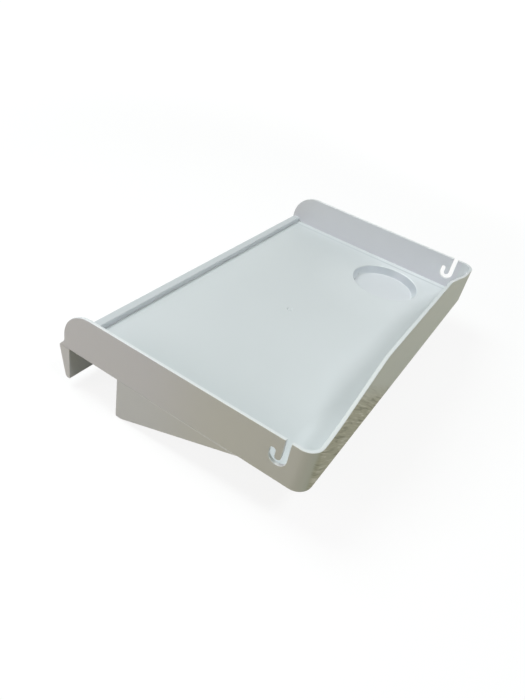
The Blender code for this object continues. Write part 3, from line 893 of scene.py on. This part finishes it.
def line_polish_and_highlight(place):
    """A painted highlight with polish on the parting line: a thin strip along the cheek's top, from
    nothing at the rail to its tip.
    """
    forwards = (RAIL_NEAR_Y - place.y) / (RAIL_NEAR_Y - CHEEK_TIP_Y)
    return LINE_SHARE * forwards if place.z > LINE_Z - CLOSE else 0


for name, node, side in (("left_cheek", "left_gusset", -1), ("right_cheek", "right_gusset", 1)):
    cheek_shape = make_panel([
        (RAIL_NEAR_Y, SKIRT_Z, 0), (RAIL_NEAR_Y, CHEEK_LOW_Z, 1.5 * MM),
        (CHEEK_LOW_Y, CHEEK_LOW_Z, 8 * MM), (CHEEK_TIP_Y, SKIRT_Z, 0)],
        side * HALF_WIDTH, side * INNER_HALF)
    round_edges(cheek_shape, EDGE_RADIUS, is_below_skirt, 2)
    for height in (LINE_Z, LINE_END_Z):
        bmesh.ops.bisect_plane(
            cheek_shape, geom=cheek_shape.verts[:] + cheek_shape.edges[:] + cheek_shape.faces[:],
            plane_co=(0, 0, height), plane_no=(0, 0, 1))
    mark_polish_and_highlight(cheek_shape, line_polish_and_highlight)
    finish_piece(cheek_shape, name, node, "bracket_plastic", cheek_abs)

# %% [markdown]
# ## The hidden pieces keep their CAD shape
#
# The seat, the bearing plate and the two ribs under the floor are plain in the real moulding too,
# so their CAD nodes stay. Only their finish changes: the underside comes from a duller half of the
# mould.

# %% Finish of the CAD nodes that stay
HIDDEN_NODES = ("rail_seat", "bearing_plate", "left_rib", "right_rib")
for name in HIDDEN_NODES:
    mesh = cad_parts[name].data
    mesh.materials.clear()
    mesh.materials.append(underside_abs)
print("kept in their CAD shape:", HIDDEN_NODES)

# %% [markdown]
# ## The studio
#
# A pale floor lies just under the lowest point. To the camera it is nearly white, because most of
# what the camera sees of it is a glow, which rises to 1 further out, so that no horizon and no
# lamp's edge shows. The rest is lit as paper is, so the tray still throws a soft shadow on it. The
# light that the floor gives back to the tray comes from a warmer tone, as off a wooden table.

# %% Helpers for the studio
def seen_directly(material):
    """1 for what the camera, a gloss or a glass sees, and 0 for the light that a surface gets."""
    path = add_node(material, "ShaderNodeLightPath").outputs
    seen = path["Is Camera Ray"]
    for kind in ("Is Glossy Ray", "Is Transmission Ray"):
        either = add_node(material, "ShaderNodeMath", {"operation": "MAXIMUM"})
        material.node_tree.links.new(seen, either.inputs[0])
        material.node_tree.links.new(path[kind], either.inputs[1])
        seen = either.outputs[0]
    return seen


def mix_shaders(material, share, first, second):
    """One shader blended into another; share is 0 for the first and 1 for the second."""
    mixed = add_node(material, "ShaderNodeMixShader", sockets={"Fac": share})
    material.node_tree.links.new(first.outputs[0], mixed.inputs[1])
    material.node_tree.links.new(second.outputs[0], mixed.inputs[2])
    return mixed


print("helpers:", seen_directly.__name__, "and", mix_shaders.__name__)

# %% White paper
WOOD_TINT = "#968b6c"
PAPER_GREY = 0.16
GLOW_FROM, GLOW_TO = 0.5, 1.5  # metres from the origin
GLOW_NEAR = 0.86
paper = bpy.data.materials.new("matt_white_paper")
paper.use_nodes = True
paper.node_tree.nodes.clear()
board = add_node(paper, "ShaderNodeBsdfDiffuse", sockets={"Color": from_hex(WOOD_TINT)})
lit = add_node(paper, "ShaderNodeBsdfDiffuse", sockets={
    "Color": (PAPER_GREY, PAPER_GREY, PAPER_GREY, 1)})
centred = add_node(paper, "ShaderNodeTexCoord").outputs["Object"]
far = add_node(paper, "ShaderNodeVectorMath", {"operation": "LENGTH"}, {"Vector": centred})
strength = add_node(paper, "ShaderNodeMapRange", {"interpolation_type": "SMOOTHSTEP"}, {
    "Value": far.outputs["Value"], "From Min": GLOW_FROM, "From Max": GLOW_TO,
    "To Min": GLOW_NEAR, "To Max": 1})
glow = add_node(paper, "ShaderNodeEmission", sockets={
    "Color": (1, 1, 1, 1), "Strength": strength.outputs["Result"]})
shown = add_node(paper, "ShaderNodeAddShader")
paper.node_tree.links.new(lit.outputs[0], shown.inputs[0])
paper.node_tree.links.new(glow.outputs[0], shown.inputs[1])
paper_shader = mix_shaders(paper, seen_directly(paper), board, shown)
add_node(paper, "ShaderNodeOutputMaterial", sockets={"Surface": paper_shader.outputs[0]})
print("glow:", GLOW_NEAR, "up to", GLOW_FROM, "m from the origin, and 1 past", GLOW_TO, "m")

# %% Floor
FLOOR_LEVEL = -42.5 * MM
FLOOR_REACH = 12  # metres from the middle to each side


def make_studio_floor():
    """A large pale plane that stays white in the picture and keeps a faint shadow."""
    shape = bmesh.new()
    bmesh.ops.create_grid(shape, x_segments=1, y_segments=1, size=FLOOR_REACH,
                          matrix=Matrix.Translation((0, 0, FLOOR_LEVEL)))
    mesh = bpy.data.meshes.new("studio_floor")
    shape.to_mesh(mesh)
    shape.free()
    mesh.materials.append(paper)
    made = bpy.data.objects.new("studio_floor", mesh)
    bpy.context.scene.collection.objects.link(made)
    print("floor:", [round(side, 1) for side in made.dimensions], "m")


make_studio_floor()

# %% World
AMBIENT = 0.1
world = bpy.data.worlds.new("studio")
world.use_nodes = True
world.node_tree.nodes.clear()
bpy.context.scene.world = world
room = add_node(world, "ShaderNodeBackground", sockets={"Color": (1, 1, 1, 1), "Strength": AMBIENT})
white = add_node(world, "ShaderNodeBackground", sockets={"Color": (1, 1, 1, 1), "Strength": 1.0})
world_shader = mix_shaders(world, seen_directly(world), room, white)
add_node(world, "ShaderNodeOutputWorld", sockets={"Surface": world_shader.outputs[0]})
print("world:", AMBIENT, "as light, 1 as seen")

# %% [markdown]
# ## The lamps
#
# Two soft boxes overhead give most of the light. The front one is the smaller, and leaves the soft
# shadow band behind the guard. A box behind on the left lights the right wall, and two weak ones
# fill in from the sides. Low strips in front and on the right brighten the outer faces alone,
# because the walls keep their light off the floor. They are hidden from glossy rays, or a polished
# rim would show them as a hard white line. A lamp's power is given in red, green and blue watts.

# %% Lamps
AIM = Vector((0, -0.08, 0))
LAMPS = (  # name, place, size, watts
    ("high_front_box", (-0.3, -0.85, 1.4), (0.35, 0.35), (7.3, 7.4, 7.6)),
    ("high_back_box", (-0.2, 0.7, 1.35), (0.8, 0.8), (12.4, 14.0, 13.4)),
    ("back_left_box", (-1.0, 0.5, 0.5), (0.7, 0.7), (4.7, 4.1, 4.6)),
    ("left_box", (-1.4, -0.3, 0.7), (1.2, 1.2), (0.75, 1.1, 0.25)),
    ("right_box", (1.3, -0.3, 0.8), (1.2, 1.2), (1.0, 1.0, 1.0)),
    ("low_front_strip", (0.45, -1.1, 0.03), (0.7, 0.1), (2.4, 2.4, 2.3)),
    ("low_right_strip", (1.1, -0.08, 0.03), (0.3, 0.1), (2.0, 2.0, 2.0)),
)
for name, place, size, watts in LAMPS:
    light = bpy.data.lights.new(name, "AREA")
    light.shape = "RECTANGLE"
    light.size, light.size_y = size
    light.energy = max(watts)
    light.color = [part / max(watts) for part in watts]
    lamp = bpy.data.objects.new(name, light)
    lamp.location = place
    lamp.visible_glossy = "strip" not in name
    lamp.rotation_euler = (AIM - Vector(place)).to_track_quat("-Z", "Y").to_euler()
    bpy.context.scene.collection.objects.link(lamp)
print("lamps:", [lamp[0] for lamp in LAMPS])

# %% [markdown]
# ## Colours as written
#
# The Standard view transform shows colours as they are written, with no film curve on top.

# %% View and finish
bpy.context.scene.view_settings.view_transform = "Standard"
